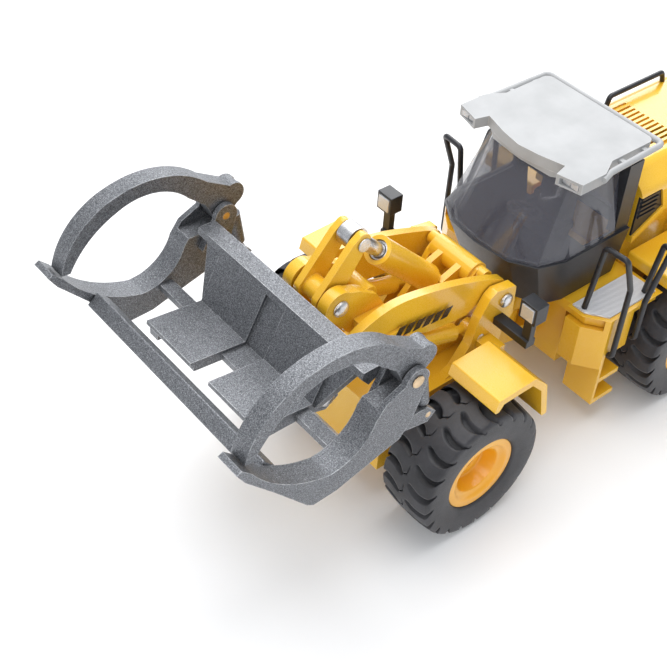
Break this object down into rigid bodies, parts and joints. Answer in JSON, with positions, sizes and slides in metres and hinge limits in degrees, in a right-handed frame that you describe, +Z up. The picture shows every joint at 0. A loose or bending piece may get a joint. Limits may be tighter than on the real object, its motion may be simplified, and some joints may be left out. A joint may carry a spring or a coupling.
{
  "type": "toy front loader",
  "caption": "Die-cast style articulated toy wheel loader with a raised timber grab, hinged claws, cab, platforms and lugged tyres.",
  "frame": {"origin": "on the ground under the middle of the whole length and width", "axes": "+X forward towards the grab, +Y to the vehicle's left, +Z up"},
  "size_m": [0.1939, 0.0738, 0.0831],
  "materials": {
    "yellow_paint": "glossy golden yellow enamel over die-cast metal",
    "rim_paint": "satin orange-yellow enamel",
    "tyre_rubber": "matt black rubber",
    "steel": "bright turned steel",
    "brass": "brassy rivet",
    "grab_casting": "hammered grey metallic paint over a casting",
    "black_plastic": "satin black plastic",
    "grey_plastic": "matt light grey plastic",
    "step_plate": "pale ribbed anti-slip plate",
    "smoked_glass": "smoky clear plastic",
    "clear_lens": "clear lens",
    "cab_trim": "dark brown moulded interior"
  },
  "bodies": {
    "rear_half": {"rear_chassis": "yellow_paint", "articulation_pin": "steel", "engine_hood": "yellow_paint", "hood_grille": "yellow_paint", "side_vents": "black_plastic", "rear_grille": "black_plastic", "counterweight": "yellow_paint", "hood_rail": "black_plastic", "step_box_left": "yellow_paint", "step_box_right": "yellow_paint", "platform_plates": "step_plate", "rear_fenders": "yellow_paint", "handrails": "black_plastic", "cab_base": "black_plastic", "cab_glass": "smoked_glass", "cab_roof": "grey_plastic", "roof_lamps": "clear_lens", "roof_rail": "grey_plastic", "seat": "cab_trim", "steering_wheel": "cab_trim"},
    "front_half": {"front_frame": "yellow_paint", "boom_pivot_pins": "steel", "lift_base_pins": "steel", "front_fenders": "yellow_paint", "work_lamps": "black_plastic", "lamp_lenses": "clear_lens"},
    "boom": {"boom": "yellow_paint", "lift_eye_pins": "steel", "bellcrank_pin": "steel", "grab_pivot_pins": "steel"},
    "lift_barrel_left": {"lift_barrel_left": "yellow_paint"},
    "lift_barrel_right": {"lift_barrel_right": "yellow_paint"},
    "lift_rod_left": {"lift_rod_left": "steel"},
    "lift_rod_right": {"lift_rod_right": "steel"},
    "tilt_clevis_pin": {"tilt_clevis_pin": "steel"},
    "tilt_barrel": {"tilt_barrel": "yellow_paint"},
    "tilt_sleeve": {"tilt_sleeve": "steel"},
    "tilt_rod": {"tilt_rod": "steel"},
    "bellcrank": {"bellcrank": "yellow_paint", "bellcrank_end_pins": "steel"},
    "drag_link": {"drag_link": "yellow_paint"},
    "grab": {"grab_back": "grab_casting", "grab_front_bar": "grab_casting", "grab_tine_left": "grab_casting", "grab_tine_right": "grab_casting", "grab_link_pin": "steel", "claw_pivot_pins": "brass", "claw_base_pins": "brass"},
    "claw_left": {"claw_left": "grab_casting"},
    "claw_right": {"claw_right": "grab_casting"},
    "claw_barrel_left": {"claw_barrel_left": "grab_casting"},
    "claw_barrel_right": {"claw_barrel_right": "grab_casting"},
    "claw_rod_left": {"claw_rod_left": "steel"},
    "claw_rod_right": {"claw_rod_right": "steel"},
    "front_wheels": {"front_axle": "steel", "front_rims": "rim_paint", "front_tyres": "tyre_rubber"},
    "rear_wheels": {"rear_axle": "steel", "rear_rims": "rim_paint", "rear_tyres": "tyre_rubber"}
  },
  "joints": [
    {"name": "articulation", "type": "hinge", "parent": "rear_half", "child": "front_half", "pos_m": [-0.014, 0, 0.025], "axis": [0, 0, 1], "range_deg": [-20, 20]},
    {"name": "front_wheels_spin", "type": "hinge", "parent": "front_half", "child": "front_wheels", "pos_m": [0.025, 0, 0.0185], "axis": [0, 1, 0], "continuous": true},
    {"name": "rear_wheels_spin", "type": "hinge", "parent": "rear_half", "child": "rear_wheels", "pos_m": [-0.053, 0, 0.0185], "axis": [0, 1, 0], "continuous": true},
    {"name": "boom_lift", "type": "hinge", "parent": "front_half", "child": "boom", "pos_m": [0.0024, 0, 0.0468], "axis": [0, -1, 0], "range_deg": [-18, 12]},
    {"name": "lift_barrel_left_swing", "type": "hinge", "parent": "front_half", "child": "lift_barrel_left", "pos_m": [0.009, 0.0107, 0.038], "axis": [0, -1, 0], "range_deg": [-20.52, 13.68]},
    {"name": "lift_rod_left_slide", "type": "slide", "parent": "lift_barrel_left", "child": "lift_rod_left", "axis": [0.9578, 0, 0.2873], "range_m": [-0.0031, 0.00207]},
    {"name": "lift_barrel_right_swing", "type": "hinge", "parent": "front_half", "child": "lift_barrel_right", "pos_m": [0.009, -0.0107, 0.038], "axis": [0, -1, 0], "range_deg": [-20.52, 13.68]},
    {"name": "lift_rod_right_slide", "type": "slide", "parent": "lift_barrel_right", "child": "lift_rod_right", "axis": [0.9578, 0, 0.2873], "range_m": [-0.0031, 0.00207]},
    {"name": "grab_tilt", "type": "hinge", "parent": "boom", "child": "bellcrank", "pos_m": [0.048, 0, 0.0625], "axis": [0, -1, 0], "range_deg": [-4, 24]},
    {"name": "tilt_clevis_pin_turn", "type": "hinge", "parent": "front_half", "child": "tilt_clevis_pin", "pos_m": [0.012, 0, 0.047], "axis": [0, -1, 0], "range_deg": [-21.52, 14.35]},
    {"name": "tilt_barrel_swing", "type": "hinge", "parent": "tilt_clevis_pin", "child": "tilt_barrel", "pos_m": [0.012, 0, 0.047], "axis": [0, -1, 0], "range_deg": [-2.06, 0.34]},
    {"name": "tilt_sleeve_slide", "type": "slide", "parent": "tilt_barrel", "child": "tilt_sleeve", "axis": [0.7162, 0, 0.6979], "range_m": [-0.00213, 0.00142]},
    {"name": "tilt_rod_slide", "type": "slide", "parent": "tilt_sleeve", "child": "tilt_rod", "axis": [0.7162, 0, 0.6979], "range_m": [-0.006, 0.001]},
    {"name": "drag_link_swing", "type": "hinge", "parent": "bellcrank", "child": "drag_link", "pos_m": [0.0425, 0, 0.0525], "axis": [0, -1, 0], "range_deg": [-17.83, 2.97]},
    {"name": "grab_swing", "type": "hinge", "parent": "boom", "child": "grab", "pos_m": [0.056, 0, 0.045], "axis": [0, -1, 0], "range_deg": [-18.74, 3.12]},
    {"name": "claw_left_open", "type": "hinge", "parent": "grab", "child": "claw_left", "pos_m": [0.052, 0.0326, 0.0663], "axis": [0, -1, 0], "range_deg": [0, 55]},
    {"name": "claw_barrel_left_swing", "type": "hinge", "parent": "grab", "child": "claw_barrel_left", "pos_m": [0.0455, 0.0326, 0.051], "axis": [0, -1, 0], "range_deg": [0, 5.02]},
    {"name": "claw_rod_left_slide", "type": "slide", "parent": "claw_barrel_left", "child": "claw_rod_left", "axis": [0.1703, 0, 0.9854], "range_m": [-0.00436, 0]},
    {"name": "claw_right_open", "type": "hinge", "parent": "grab", "child": "claw_right", "pos_m": [0.052, -0.0326, 0.0663], "axis": [0, -1, 0], "range_deg": [0, 55]},
    {"name": "claw_barrel_right_swing", "type": "hinge", "parent": "grab", "child": "claw_barrel_right", "pos_m": [0.0455, -0.0326, 0.051], "axis": [0, -1, 0], "range_deg": [0, 5.02]},
    {"name": "claw_rod_right_slide", "type": "slide", "parent": "claw_barrel_right", "child": "claw_rod_right", "axis": [0.1703, 0, 0.9854], "range_m": [-0.00436, 0]}
  ],
  "couplings": [
    {"joint": "lift_barrel_left_swing", "follows": "boom_lift", "ratio": 1.1401},
    {"joint": "lift_rod_left_slide", "follows": "boom_lift", "m_per_rad": 0.0098695},
    {"joint": "lift_barrel_right_swing", "follows": "boom_lift", "ratio": 1.1401},
    {"joint": "lift_rod_right_slide", "follows": "boom_lift", "m_per_rad": 0.0098695},
    {"joint": "tilt_clevis_pin_turn", "follows": "boom_lift", "ratio": 1.1956},
    {"joint": "tilt_barrel_swing", "follows": "grab_tilt", "ratio": -0.08575},
    {"joint": "tilt_sleeve_slide", "follows": "boom_lift", "m_per_rad": 0.0067825},
    {"joint": "tilt_rod_slide", "follows": "grab_tilt", "m_per_rad": -0.01433},
    {"joint": "drag_link_swing", "follows": "grab_tilt", "ratio": -0.74273},
    {"joint": "grab_swing", "follows": "grab_tilt", "ratio": -0.78078},
    {"joint": "claw_barrel_left_swing", "follows": "claw_left_open", "ratio": 0.09117},
    {"joint": "claw_rod_left_slide", "follows": "claw_left_open", "m_per_rad": -0.004537},
    {"joint": "claw_barrel_right_swing", "follows": "claw_right_open", "ratio": 0.09117},
    {"joint": "claw_rod_right_slide", "follows": "claw_right_open", "m_per_rad": -0.004537}
  ]
}
